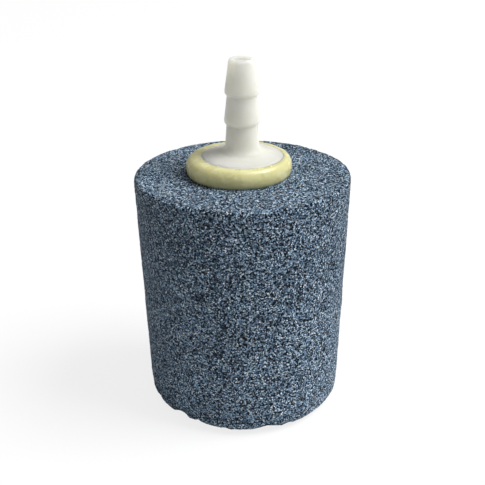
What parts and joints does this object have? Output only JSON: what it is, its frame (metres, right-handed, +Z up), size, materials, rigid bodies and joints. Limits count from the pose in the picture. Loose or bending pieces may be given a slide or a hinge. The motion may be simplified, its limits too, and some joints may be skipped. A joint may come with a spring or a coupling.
{
  "type": "air stone",
  "caption": "Tapered cylindrical air stone of bonded grit, with a white barbed hose nozzle glued into its top, for bubbling air into a pond or aquarium.",
  "frame": {"origin": "centre of the stone's flat base", "axes": "+Z up along the nozzle's axis; +X and +Y are any two directions square to it, as the part is round"},
  "size_m": [0.05, 0.05, 0.0835],
  "materials": {
    "bonded_grit": "rough, granular and porous, blue-grey",
    "white_plastic": "satin, natural white, slightly translucent",
    "cream_adhesive": "glossy, cream-yellow, uneven"
  },
  "bodies": {
    "root": {"porous_stone": "bonded_grit", "barbed_nozzle": "white_plastic", "adhesive_bead": "cream_adhesive"}
  },
  "joints": []
}
